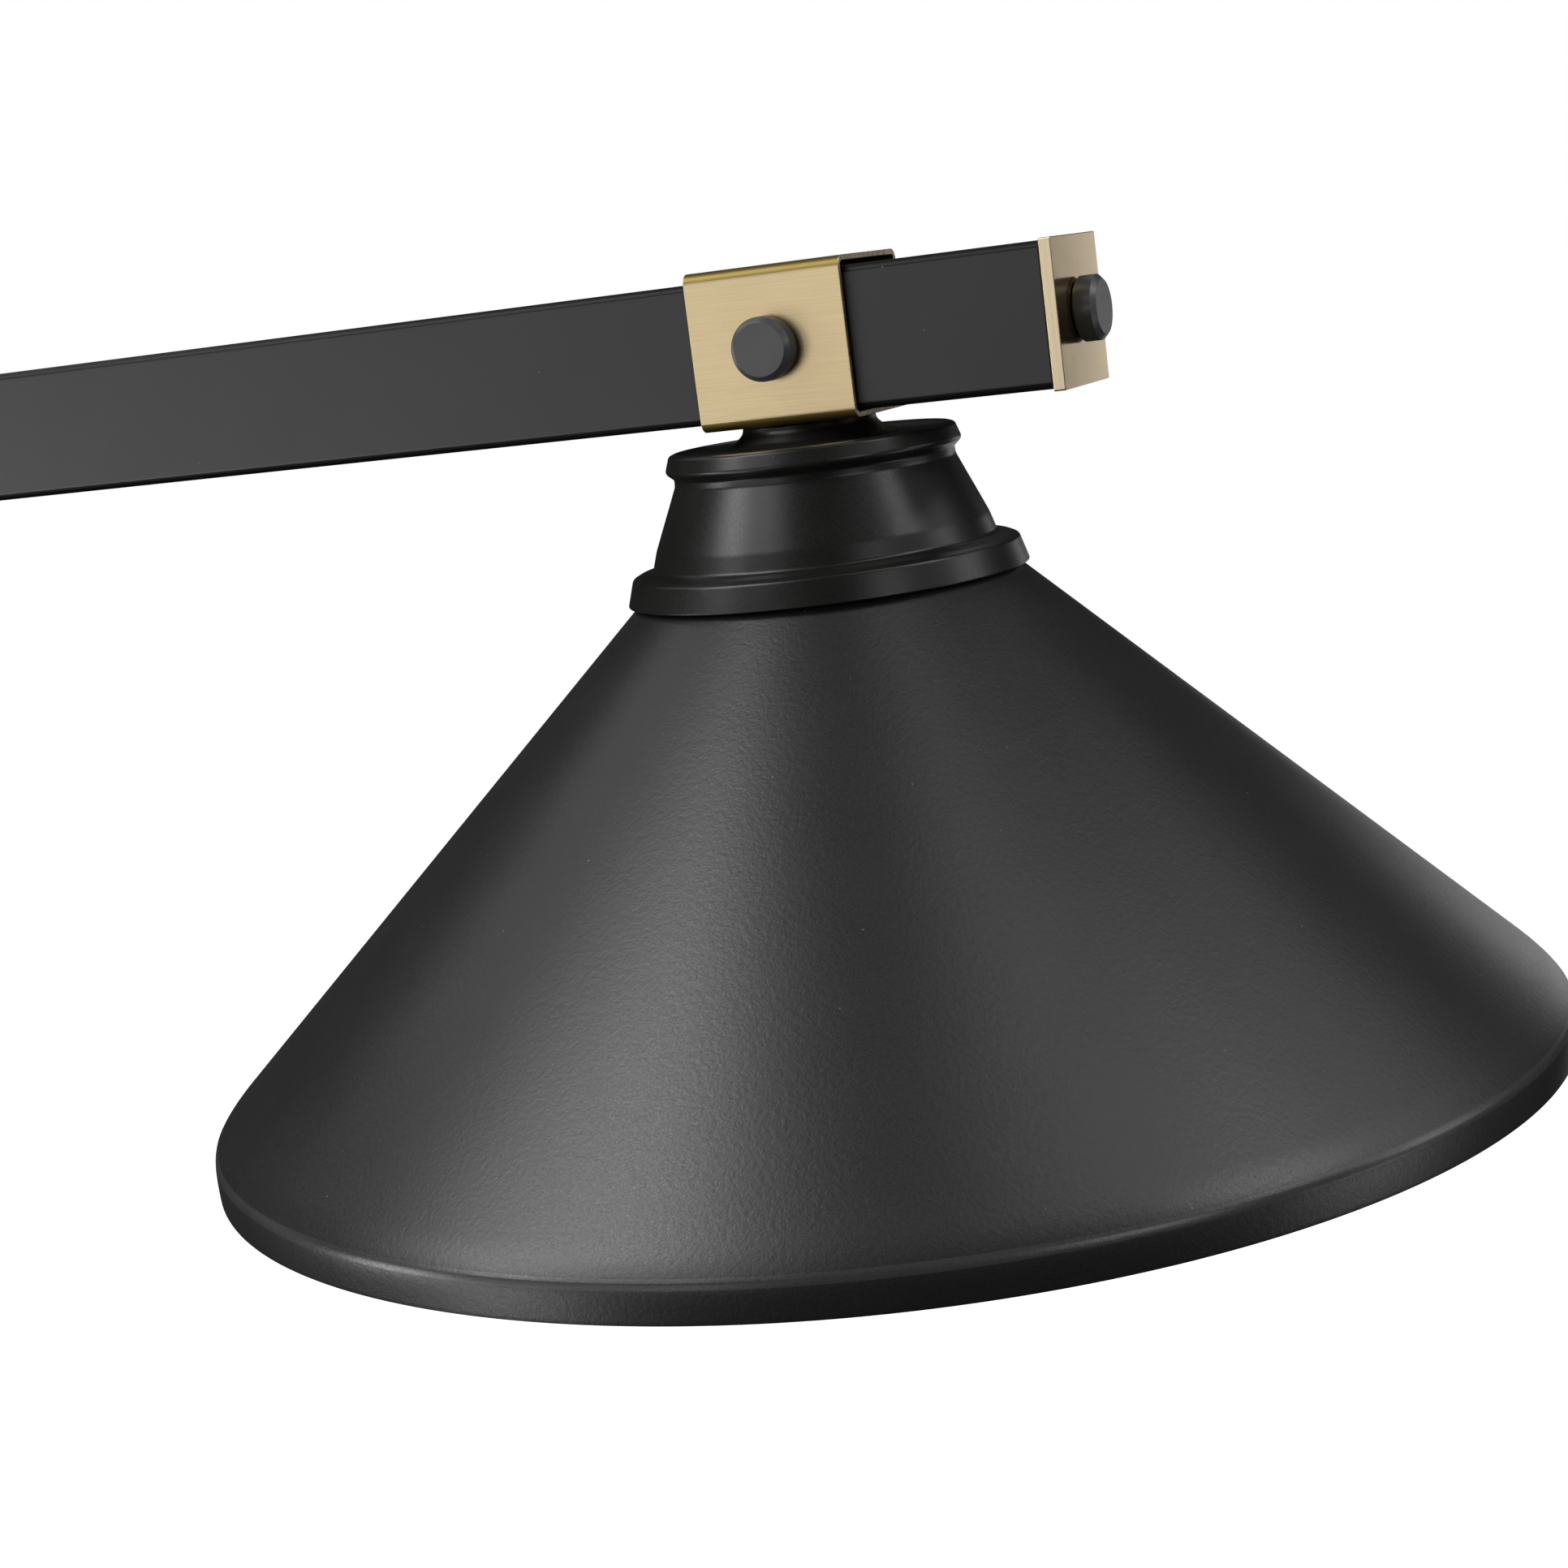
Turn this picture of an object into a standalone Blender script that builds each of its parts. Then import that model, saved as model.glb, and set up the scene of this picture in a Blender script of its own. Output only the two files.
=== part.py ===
"""Three-light billiard table lamp hung from a linear ceiling canopy.

Millimetre values below are scaled by MM. +X runs along the bar, -Y is the
front with the knobs, +Z is up. The origin is the middle of the ceiling plane.
"""
import math

import bmesh
import bpy
from mathutils import Matrix, Vector

MM = 0.001

# Heights and spacing
BAR_Z = -560.0          # bar centre below the ceiling
LAMP_PITCH = 584.2      # lamp to lamp along the bar
LAMP_X = (("left", -LAMP_PITCH), ("centre", 0.0), ("right", LAMP_PITCH))
STEM_X = (("left", -220.0), ("right", 220.0))
FIT = 0.3               # clearance between touching pieces

# Square bar and its ends
BAR = 38.1
BAR_WALL = 1.5
BAR_CORNER = 1.8
BAR_HALF = LAMP_PITCH + 76.9
PLATE = 39.2
PLATE_T = 3.25
INSERT = 34.4
INSERT_T = 8.0

# Brass sleeve round the bar
SLEEVE = 42.8
SLEEVE_WALL = 1.5
SLEEVE_CORNER = 3.0
SLEEVE_LEN = 45.4
SLEEVE_LIFT = 0.5       # the sleeve is drawn up against the underside of the bar

# Knobs
KNOB_R = 8.6
KNOB_H = 6.3
KNOB_BEVEL = 1.15
SHANK_R = 2.5
SHANK_HOLE = 2.9

# Threaded tube that carries each lampholder
NIPPLE_R = 4.9
NIPPLE_BORE = 3.3
NIPPLE_HOLE = 5.3
NUT_FLATS = 16.0
NUT_T = 4.0

# Shade
SHADE_R = 190.5
SHADE_RIM = -207.7
SHADE_TOP = -66.6
SHADE_SHEET = 1.0
SHADE_HOLE = 21.2

# Lampholder
HOLDER_R = 20.6
HOLDER_END = -96.0
HOLDER_BORE = 14.0

# Stems and ceiling swivels
STEM_R = 6.35
STEM_BORE = 5.1
STEM_JOIN = -290.0
BALL_Z = -24.0
BALL_R = 14.0

# Canopy
CANOPY_X = 560.0
CANOPY_Y = 108.0
CANOPY_H = 26.0
CANOPY_SHEET = 1.2
SEAT_HOLE = 17.8
STUD_X = 75.0
STUD_R = 2.0


def clear_scene():
    """Remove every object left in the open file."""
    for item in list(bpy.data.objects):
        bpy.data.objects.remove(item, do_unlink=True)


def new_collection(name):
    """Return a new collection linked to the scene."""
    group = bpy.data.collections.new(name)
    bpy.context.scene.collection.children.link(group)
    return group


def surface(name, colour, metallic, roughness):
    """Return a plain Principled material."""
    made = bpy.data.materials.new(name)
    made.use_nodes = True
    shader = made.node_tree.nodes["Principled BSDF"]
    shader.inputs["Base Color"].default_value = (*colour, 1.0)
    shader.inputs["Metallic"].default_value = metallic
    shader.inputs["Roughness"].default_value = roughness
    return made


FINISHES = {
    "black_paint": ((0.035, 0.035, 0.037), 0.0, 0.5),
    "black_metal": ((0.03, 0.03, 0.032), 0.3, 0.35),
    "brass": ((0.72, 0.5, 0.24), 1.0, 0.3),
    "zinc": ((0.6, 0.6, 0.58), 1.0, 0.4),
    "phenolic": ((0.02, 0.02, 0.02), 0.0, 0.45),
    "glass": ((0.9, 0.9, 0.87), 0.0, 0.25),
}


def finish(item, look, smooth):
    """Give an object its own material and its shading."""
    item.data.materials.append(surface(item.name + "_" + look, *FINISHES[look]))
    for face in item.data.polygons:
        face.use_smooth = smooth


def add_mesh(name, work, group, place):
    """Turn a bmesh into a named object at a place given in millimetres."""
    bmesh.ops.recalc_face_normals(work, faces=work.faces)
    data = bpy.data.meshes.new(name)
    work.to_mesh(data)
    work.free()
    item = bpy.data.objects.new(name, data)
    group.objects.link(item)
    item.location = Vector(place) * MM
    return item


def ring_count(radius):
    """Number of straight sides used round a turned piece."""
    if radius > 100:
        return 40
    if radius > 30:
        return 28
    if radius > 12:
        return 20
    if radius > 7:
        return 16
    return 12


def add_screw(item, radius):
    """Sweep the object's profile once round its own Z axis."""
    sweep = item.modifiers.new("turn", "SCREW")
    sweep.axis = "Z"
    sweep.angle = math.tau
    sweep.steps = ring_count(radius)
    sweep.render_steps = sweep.steps
    sweep.use_merge_vertices = True
    sweep.merge_threshold = 0.00001
    sweep.use_smooth_shade = True


def turned(name, profile, look, group, place, closed=False, sheet=0.0):
    """Lathe a profile of (radius, height) that runs down its outer side."""
    work = bmesh.new()
    points = [work.verts.new((r * MM, 0.0, z * MM)) for r, z in profile]
    for first, second in zip(points, points[1:]):
        work.edges.new((first, second))
    if closed:
        work.edges.new((points[-1], points[0]))
    data = bpy.data.meshes.new(name)
    work.to_mesh(data)
    work.free()
    item = bpy.data.objects.new(name, data)
    group.objects.link(item)
    item.location = Vector(place) * MM
    add_screw(item, max(r for r, z in profile))
    if sheet:
        shell = item.modifiers.new("sheet", "SOLIDIFY")
        shell.thickness = sheet * MM
        shell.offset = -1.0
    finish(item, look, True)
    return item


def rounded_square(width, height, corner, steps):
    """Outline of a rectangle with round corners, counter-clockwise."""
    points = []
    spots = ((1, 1, 0.0), (-1, 1, 90.0), (-1, -1, 180.0), (1, -1, 270.0))
    for side_a, side_b, start in spots:
        mid_a = side_a * (width / 2 - corner)
        mid_b = side_b * (height / 2 - corner)
        for step in range(steps + 1):
            turn = math.radians(start + 90.0 * step / steps)
            points.append((mid_a + corner * math.cos(turn), mid_b + corner * math.sin(turn)))
    return points


def prism(name, outline, low, high, axis, group, place):
    """Extrude an outline from low to high along X or Z."""
    work = bmesh.new()
    if axis == "X":
        verts = [work.verts.new((low * MM, a * MM, b * MM)) for a, b in outline]
        push = Vector(((high - low) * MM, 0.0, 0.0))
    else:
        verts = [work.verts.new((a * MM, b * MM, low * MM)) for a, b in outline]
        push = Vector((0.0, 0.0, (high - low) * MM))
    face = work.faces.new(verts)
    grown = bmesh.ops.extrude_face_region(work, geom=[face])
    moved = [part for part in grown["geom"] if isinstance(part, bmesh.types.BMVert)]
    bmesh.ops.translate(work, verts=moved, vec=push)
    return add_mesh(name, work, group, place)


def rod_cutter(name, radius, length, axis, place, group):
    """Round cutter centred on a place, its length along X, Y or Z."""
    turns = {"X": Matrix.Rotation(math.radians(90), 4, "Y"),
             "Y": Matrix.Rotation(math.radians(90), 4, "X"),
             "Z": Matrix.Identity(4)}
    work = bmesh.new()
    bmesh.ops.create_cone(work, cap_ends=True, segments=16, radius1=radius * MM,
                          radius2=radius * MM, depth=length * MM, matrix=turns[axis])
    return add_mesh(name, work, group, place)


def cut(item, cutter):
    """Subtract a hidden cutter from an object."""
    step = item.modifiers.new("cut_" + cutter.name, "BOOLEAN")
    step.operation = "DIFFERENCE"
    step.solver = "EXACT"
    step.object = cutter
    cutter.hide_render = True
    cutter.display_type = "WIRE"


def hang_on(item, parent):
    """Parent an object and keep it where it is."""
    item.parent = parent
    item.matrix_parent_inverse = parent.matrix_world.inverted()


def make_bar(parts, cutters):
    """Hollow square bar with holes for nipples and stems."""
    outer = rounded_square(BAR, BAR, BAR_CORNER, 3)
    inner_size = BAR - 2 * BAR_WALL
    inner = rounded_square(inner_size, inner_size, 0.6, 1)
    bar = prism("bar_tube", outer, -BAR_HALF, BAR_HALF, "X", parts, (0, 0, BAR_Z))
    core = prism("bar_core", inner, -BAR_HALF - 5, BAR_HALF + 5, "X", cutters, (0, 0, BAR_Z))
    cut(bar, core)
    for side, x in LAMP_X:
        low = (x, 0, BAR_Z - BAR / 2)
        cut(bar, rod_cutter("bar_hole_" + side, NIPPLE_HOLE, 10, "Z", low, cutters))
    for side, x in STEM_X:
        high = (x, 0, BAR_Z + BAR / 2)
        cut(bar, rod_cutter("bar_stem_hole_" + side, NIPPLE_HOLE, 10, "Z", high, cutters))
    finish(bar, "black_paint", False)
    return [bar]


def make_end(side, sign, parts, cutters):
    """End plate and the tapped insert that its knob screws into."""
    start = BAR_HALF + FIT
    outline = rounded_square(PLATE, PLATE, 0.4, 1)
    place = (sign * start, 0, BAR_Z)
    edges = sorted((0.0, sign * PLATE_T))
    plate = prism("end_plate_" + side, outline, edges[0], edges[1], "X", parts, place)
    cut(plate, rod_cutter("plate_hole_" + side, SHANK_HOLE, 12, "X", place, cutters))
    finish(plate, "brass", False)
    block = rounded_square(INSERT, INSERT, 1.5, 2)
    middle = (sign * (BAR_HALF - 0.5 - INSERT_T / 2), 0, BAR_Z)
    insert = prism("end_insert_" + side, block, -INSERT_T / 2, INSERT_T / 2, "X", parts, middle)
    cut(insert, rod_cutter("insert_hole_" + side, SHANK_HOLE, 20, "X", middle, cutters))
    finish(insert, "zinc", False)
    return [plate, insert]


def knob_profile(shank):
    """Knob head with a bevelled rim, a thin neck and its screw shank."""
    return [(0, KNOB_H), (KNOB_R - KNOB_BEVEL, KNOB_H), (KNOB_R, KNOB_H - KNOB_BEVEL),
            (KNOB_R, 0.6), (KNOB_R - 0.7, 0), (SHANK_R, 0), (SHANK_R, -shank), (0, -shank)]


def make_knob(name, shank, place, turn, parts):
    """Turned knob whose local Z points outwards along its screw."""
    knob = turned(name, knob_profile(shank), "black_metal", parts, place)
    knob.rotation_euler = turn
    return knob


def make_sleeve(side, x, parts, cutters):
    """Square brass sleeve with holes for its knob and the nipple."""
    place = (x, 0, BAR_Z + SLEEVE_LIFT)
    half = SLEEVE_LEN / 2
    inner_size = SLEEVE - 2 * SLEEVE_WALL
    outer = rounded_square(SLEEVE, SLEEVE, SLEEVE_CORNER, 3)
    inner = rounded_square(inner_size, inner_size, SLEEVE_CORNER - SLEEVE_WALL, 2)
    sleeve = prism("sleeve_" + side, outer, -half, half, "X", parts, place)
    cut(sleeve, prism("sleeve_core_" + side, inner, -half - 5, half + 5, "X", cutters, place))
    front = (x, -SLEEVE / 2, BAR_Z)
    low = (x, 0, BAR_Z + SLEEVE_LIFT - SLEEVE / 2)
    cut(sleeve, rod_cutter("sleeve_front_" + side, SHANK_HOLE, 8, "Y", front, cutters))
    cut(sleeve, rod_cutter("sleeve_low_" + side, NIPPLE_HOLE, 8, "Z", low, cutters))
    finish(sleeve, "brass", False)
    return sleeve


def collar_profile():
    """Bell collar: neck, dished top, bead, groove, bell and lower flange."""
    top = SLEEVE_LIFT - SLEEVE / 2 - FIT
    outer = [(18.3, top), (20.6, top - 3.2), (37.0, -25.9), (39.2, -26.9), (41.2, -30.3),
             (39.2, -34.4), (44.0, -45.0), (48.0, -56.8), (53.6, -59.4), (56.0, -66.3)]
    inner = [(54.0, -66.3), (52.0, -61.2), (46.2, -58.4), (37.4, -35.0), (37.4, -28.0),
             (16.8, top - 1.7), (NIPPLE_HOLE, top - 1.7), (NIPPLE_HOLE, top)]
    return outer + inner


def shade_profile():
    """Outer skin of the shade from its fitter hole to its rim."""
    return [(SHADE_HOLE, SHADE_TOP), (53.6, SHADE_TOP), (56.2, SHADE_TOP - 2.4),
            (183.6, -190.4), (189.2, -197.4), (SHADE_R, SHADE_RIM)]


def holder_profile():
    """Lampholder with a blind top bore and an open lamp socket below."""
    return [(0, -45.0), (NIPPLE_HOLE, -45.0), (NIPPLE_HOLE, -34.0), (13.0, -34.5),
            (23.6, -45.0), (23.6, SHADE_TOP + FIT),
            (HOLDER_R, SHADE_TOP + FIT), (HOLDER_R, HOLDER_END),
            (HOLDER_BORE, HOLDER_END), (HOLDER_BORE, -66.0), (0, -66.0)]


def bulb_profile():
    """Screw base, conical housing and round globe of the bulb."""
    return [(0, -66.8), (5.0, -67.4), (13.1, -73.0), (13.1, -96.6), (21.0, -112.0),
            (29.4, -137.0), (30.0, -151.0), (25.2, -169.0), (13.0, -179.0), (0, -181.4)]


def make_lamp(side, x, parts, cutters):
    """One lamp head with its sleeve, knob, collar, shade and fittings."""
    base = (x, 0, BAR_Z)
    under = BAR_WALL - BAR / 2 + FIT
    sleeve = make_sleeve(side, x, parts, cutters)
    shank = SLEEVE_WALL + FIT + 0.5
    front = (x, -SLEEVE / 2 - FIT, BAR_Z)
    knob = make_knob("sleeve_knob_" + side, shank, front, (math.radians(90), 0, 0), parts)
    collar = turned("collar_" + side, collar_profile(), "black_metal", parts, base, closed=True)
    shade = turned("shade_" + side, shade_profile(), "black_paint", parts, base,
                   sheet=SHADE_SHEET)
    holder = turned("lampholder_" + side, holder_profile(), "phenolic", parts, base)
    ring_top = SHADE_TOP - SHADE_SHEET - FIT
    ring_low = ring_top - 7.0
    ring = turned("shade_ring_" + side,
                  [(HOLDER_R + 0.6, ring_top), (27.4, ring_top), (27.4, ring_low + 1.5),
                   (25.6, ring_low), (HOLDER_R + 0.6, ring_low)],
                  "phenolic", parts, base, closed=True)
    bulb = turned("bulb_" + side, bulb_profile(), "glass", parts, base)
    nipple = turned("nipple_" + side,
                    [(NIPPLE_BORE, -8.0), (NIPPLE_R, -8.0), (NIPPLE_R, -44.4),
                     (NIPPLE_BORE, -44.4)], "zinc", parts, base, closed=True)
    nut = make_nut("nipple_nut_" + side, NUT_FLATS, NIPPLE_HOLE, under, under + NUT_T, base,
                   parts, cutters)
    return [sleeve, knob, collar, shade, holder, ring, bulb, nipple, nut]


def make_nut(name, flats, hole, low, high, place, parts, cutters):
    """Hexagon nut between two heights."""
    reach = flats / math.sqrt(3)
    outline = [(reach * math.cos(math.radians(60 * n)), reach * math.sin(math.radians(60 * n)))
               for n in range(6)]
    nut = prism(name, outline, low, high, "Z", parts, place)
    middle = (place[0], place[1], place[2] + (low + high) / 2)
    cut(nut, rod_cutter(name + "_hole", hole, 20, "Z", middle, cutters))
    finish(nut, "zinc", False)
    return nut


def make_stem(side, x, parts, cutters):
    """Stem in two lengths with its foot, nut, coupler and swivel ball."""
    top = BAR / 2 + FIT
    base = (x, 0, BAR_Z)
    foot = turned("stem_foot_" + side,
                  [(9.4, top + 17.0), (9.4, top + 7.0), (12.0, top + 4.4), (12.0, top), (NIPPLE_R, top), (NIPPLE_R, top - 11.0),
                   (NIPPLE_BORE, top - 11.0), (NIPPLE_BORE, top + 5.0),
                   (STEM_R + FIT, top + 5.0), (STEM_R + FIT, top + 17.0)],
                  "black_metal", parts, base, closed=True)
    high = BAR / 2 - BAR_WALL - FIT
    nut = make_nut("stem_nut_" + side, NUT_FLATS, NIPPLE_HOLE, high - NUT_T, high, base,
                   parts, cutters)
    spot = (x, 0, 0)
    low_end = BAR_Z + top + 5.0 + FIT
    lower = make_pipe("stem_lower_" + side, low_end, STEM_JOIN - 0.5, spot, parts)
    upper = make_pipe("stem_upper_" + side, STEM_JOIN + 0.5, BALL_Z + 3.0, spot, parts)
    coupler = turned("stem_coupler_" + side,
                     [(8.6, 12.0), (8.6, -12.0), (STEM_R + FIT, -12.0),
                      (STEM_R + FIT, 12.0)],
                     "black_metal", parts, (x, 0, STEM_JOIN), closed=True)
    ball = turned("swivel_ball_" + side, ball_profile(), "brass", parts, (x, 0, BALL_Z),
                  closed=True)
    return [foot, nut, lower, upper, coupler, ball]


def make_pipe(name, low, high, place, parts):
    """Plain stem tube between two heights."""
    return turned(name, [(STEM_BORE, high), (STEM_R, high), (STEM_R, low), (STEM_BORE, low)],
                  "black_paint", parts, place, closed=True)


def ball_profile():
    """Ball with a small top hole and a bore that takes the stem."""
    outer = []
    for step in range(8):
        turn = math.radians(72.0 - step * 125.0 / 7)
        outer.append((BALL_R * math.cos(turn), BALL_R * math.sin(turn)))
    return outer + [(STEM_R + FIT, outer[-1][1]), (STEM_R + FIT, 3.4), (STEM_BORE - 1.5, 3.4),
                    (STEM_BORE - 1.5, outer[0][1])]


def seat_profile():
    """Swivel seat: hollow turned bush whose lower lip holds the ball."""
    room = BALL_R + 0.45
    cup = []
    for step in range(4):
        turn = math.radians(-40.0 + step * 40.0 / 3)
        cup.append((room * math.cos(turn), room * math.sin(turn)))
    under = -CANOPY_H - FIT - BALL_Z
    outer = [(room, 10.0), (17.0, 10.0), (17.0, under), (21.5, under), (21.5, under - 2.6),
             (16.5, under - 9.2), (13.2, under - 10.4)]
    return outer + cup


def canopy_rings():
    """Insets and heights of the outlines that shape the canopy pan."""
    return ((4.2, -CANOPY_H), (1.2, -CANOPY_H + 1.2), (0.0, -CANOPY_H + 4.2), (0.0, 0.0))


def make_canopy(parts, cutters):
    """Pressed rectangular pan, open at the ceiling."""
    work = bmesh.new()
    rings = []
    for inset, z in canopy_rings():
        outline = rounded_square(CANOPY_X - 2 * inset, CANOPY_Y - 2 * inset, 14.0 - inset, 4)
        rings.append([work.verts.new((a * MM, b * MM, z * MM)) for a, b in outline])
    work.faces.new(list(reversed(rings[0])))
    for low, high in zip(rings, rings[1:]):
        for n in range(len(low)):
            after = (n + 1) % len(low)
            work.faces.new((low[n], low[after], high[after], high[n]))
    pan = bpy.data.meshes.new("canopy_pan")
    work.to_mesh(pan)
    work.free()
    canopy = bpy.data.objects.new("canopy_pan", pan)
    parts.objects.link(canopy)
    shell = canopy.modifiers.new("sheet", "SOLIDIFY")
    shell.thickness = CANOPY_SHEET * MM
    shell.offset = -1.0
    for side, x in STEM_X:
        spot = (x, 0, -CANOPY_H)
        cut(canopy, rod_cutter("canopy_hole_" + side, SEAT_HOLE, 12, "Z", spot, cutters))
    for side, x in (("left", -STUD_X), ("right", STUD_X)):
        spot = (x, 0, -CANOPY_H)
        cut(canopy, rod_cutter("canopy_stud_" + side, 2.6, 12, "Z", spot, cutters))
    finish(canopy, "black_paint", False)
    return canopy


def make_bracket(parts, cutters):
    """Flat ceiling strap with two box slots and two stud holes."""
    outline = rounded_square(210.0, 24.0, 4.0, 3)
    strap = prism("ceiling_strap", outline, -2.5, 0.0, "Z", parts, (0, 0, 0))
    for side, sign in (("left", -1), ("right", 1)):
        slot = rounded_square(22.0, 5.0, 2.4, 2)
        spot = (sign * 42.0, 0, 0)
        cut(strap, prism("strap_slot_" + side, slot, -8.0, 5.0, "Z", cutters, spot))
        spot = (sign * STUD_X, 0, -1.25)
        cut(strap, rod_cutter("strap_stud_" + side, STUD_R + FIT, 12, "Z", spot, cutters))
    finish(strap, "zinc", False)
    return strap


def make_ceiling(parts, cutters):
    """Everything that stays on the ceiling."""
    make_canopy(parts, cutters)
    make_bracket(parts, cutters)
    for side, x in STEM_X:
        turned("swivel_seat_" + side, seat_profile(), "black_metal", parts, (x, 0, BALL_Z),
               closed=True)
    for side, x in (("left", -STUD_X), ("right", STUD_X)):
        spot = (x, 0, 0)
        turned("canopy_stud_" + side + "_rod",
               [(0, -0.2), (STUD_R, -0.2), (STUD_R, -33.4), (0, -33.4)], "zinc", parts, spot)
        make_nut("stud_nut_" + side, 8.0, STUD_R + FIT, -6.0, -2.5 - FIT, spot, parts, cutters)
        turned("cap_nut_" + side,
               [(0, -34.0), (STUD_R + FIT, -34.0), (STUD_R + FIT, -CANOPY_H - FIT),
                (7.2, -CANOPY_H - FIT), (7.2, -32.6), (5.2, -36.2), (0, -38.2)],
               "brass", parts, spot)


def make_hanging(parts, cutters):
    """Everything that swings below the canopy, parented to the swing axis."""
    axis = bpy.data.objects.new("swing_axis", None)
    parts.objects.link(axis)
    axis.location = (0.0, 0.0, BALL_Z * MM)
    pieces = make_bar(parts, cutters)
    for side, sign, turn in (("left", -1, -90), ("right", 1, 90)):
        pieces += make_end(side, sign, parts, cutters)
        face = (sign * (BAR_HALF + PLATE_T + 2 * FIT), 0, BAR_Z)
        shank = PLATE_T + 2 * FIT + INSERT_T + 1.5
        pieces.append(make_knob("end_knob_" + side, shank, face,
                                (0, math.radians(turn), 0), parts))
    for side, x in LAMP_X:
        pieces += make_lamp(side, x, parts, cutters)
    for side, x in STEM_X:
        pieces += make_stem(side, x, parts, cutters)
    bpy.context.view_layer.update()
    for piece in pieces:
        hang_on(piece, axis)


def main():
    """Build the lamp."""
    clear_scene()
    parts = new_collection("pool_table_lamp")
    cutters = new_collection("cutters")
    make_ceiling(parts, cutters)
    make_hanging(parts, cutters)


main()
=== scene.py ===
"""Looks for the billiard table lamp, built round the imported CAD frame.

Lengths are metres in the frame's axes: +X along the bar, -Y the front with
the knobs, +Z up. Sizes come from the frame's boxes; MM scales the rest.
"""

import math

import bmesh
import bpy
from mathutils import Matrix, Vector


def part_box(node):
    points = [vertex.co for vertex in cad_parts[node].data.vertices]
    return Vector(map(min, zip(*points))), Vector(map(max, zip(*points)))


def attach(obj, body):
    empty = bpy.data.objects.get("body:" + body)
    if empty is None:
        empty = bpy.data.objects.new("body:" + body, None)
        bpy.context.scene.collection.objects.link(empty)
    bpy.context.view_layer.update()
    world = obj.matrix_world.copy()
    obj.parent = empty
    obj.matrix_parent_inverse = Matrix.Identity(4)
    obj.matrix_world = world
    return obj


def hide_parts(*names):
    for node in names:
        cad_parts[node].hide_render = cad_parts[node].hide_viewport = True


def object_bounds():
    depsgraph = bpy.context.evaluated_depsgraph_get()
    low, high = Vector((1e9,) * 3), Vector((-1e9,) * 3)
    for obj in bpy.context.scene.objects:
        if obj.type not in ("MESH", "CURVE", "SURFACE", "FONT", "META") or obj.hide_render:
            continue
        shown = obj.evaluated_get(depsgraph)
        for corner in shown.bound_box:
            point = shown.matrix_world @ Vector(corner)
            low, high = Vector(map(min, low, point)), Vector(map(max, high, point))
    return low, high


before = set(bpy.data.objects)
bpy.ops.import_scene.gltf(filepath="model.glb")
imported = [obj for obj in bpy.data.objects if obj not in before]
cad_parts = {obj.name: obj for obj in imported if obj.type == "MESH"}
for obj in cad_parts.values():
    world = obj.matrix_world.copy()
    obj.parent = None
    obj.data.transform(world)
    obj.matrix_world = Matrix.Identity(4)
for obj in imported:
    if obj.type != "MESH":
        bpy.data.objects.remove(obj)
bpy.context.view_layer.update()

MM = 0.001
LAMPS = ("left", "centre", "right")
SIDES = ("left", "right")
ENDS = (("left", -1), ("right", 1))

# Sizes below are in mm.
ROUND = 160              # sides round a large turned piece
SMALL_ROUND = 96         # sides round a small turned piece
SHADE_ROUND = 240        # sides round a shade
FLUTED_ROUND = 192       # sides round a fluted ring
WALL = 1.5               # wall of the bar and of the sleeves
NIPPLE_HOLE = 5.3        # radius of the holes for the threaded tubes
SCREW_HOLE = 2.9         # radius of the holes for the knobs' shanks
KNOB_TALL = 6.3          # height of a knob's head
STEM_RADIUS = 6.35
STEM_BORE = 5.1
STEM_GRIP = 6.65         # bore of the pieces that hold a stem
BALL_ANGLE = 72          # degrees up the swivel ball at which its top is cut off
SHEET = 1.0              # thickness of a shade's sheet
PAN_SHEET = 1.2          # thickness of the canopy's sheet
PAN_CORNER = 14.0
PAN_EDGE = 4.6


def middle(node):
    """Centre of a CAD node's box."""
    low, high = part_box(node)
    return (low + high) / 2


def extent(node):
    """Size of a CAD node's box."""
    low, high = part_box(node)
    return high - low


BAR_Z = middle("bar_tube").z
BAR_SIZE = extent("bar_tube").y
BAR_LENGTH = extent("bar_tube").x


# ---------------------------------------------------------------- camera

PHOTO_LENS = 64.61       # mm on a 36 mm sensor
PHOTO_YAW = 24.41        # degrees, turned towards the bar's far end
PHOTO_PITCH = -10.18
PHOTO_ROLL = 7.33
PHOTO_OFFSET = Vector((0.3040, -0.7172, 0.0186))   # from the right lamp's axis on the bar


def make_camera():
    """Camera at the photograph's place, aim and roll."""
    lens = bpy.data.cameras.new("photo_camera")
    lens.lens = PHOTO_LENS
    lens.sensor_width = 36.0
    lens.clip_start = 0.01
    lens.clip_end = 200.0
    camera = bpy.data.objects.new("photo_camera", lens)
    bpy.context.scene.collection.objects.link(camera)
    yaw, pitch, roll = (math.radians(a) for a in (PHOTO_YAW, PHOTO_PITCH, PHOTO_ROLL))
    ahead = Vector((-math.sin(yaw) * math.cos(pitch), math.cos(yaw) * math.cos(pitch),
                    math.sin(pitch)))
    level = ahead.cross(Vector((0, 0, 1))).normalized()
    above = level.cross(ahead)
    right = math.cos(roll) * level - math.sin(roll) * above
    up = math.sin(roll) * level + math.cos(roll) * above
    turn = Matrix((right, up, -ahead)).transposed()
    place = Vector((middle("collar_right").x, 0, BAR_Z)) + PHOTO_OFFSET
    camera.matrix_world = Matrix.Translation(place) @ turn.to_4x4()
    bpy.context.scene.camera = camera


# ---------------------------------------------------------------- mesh tools

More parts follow.
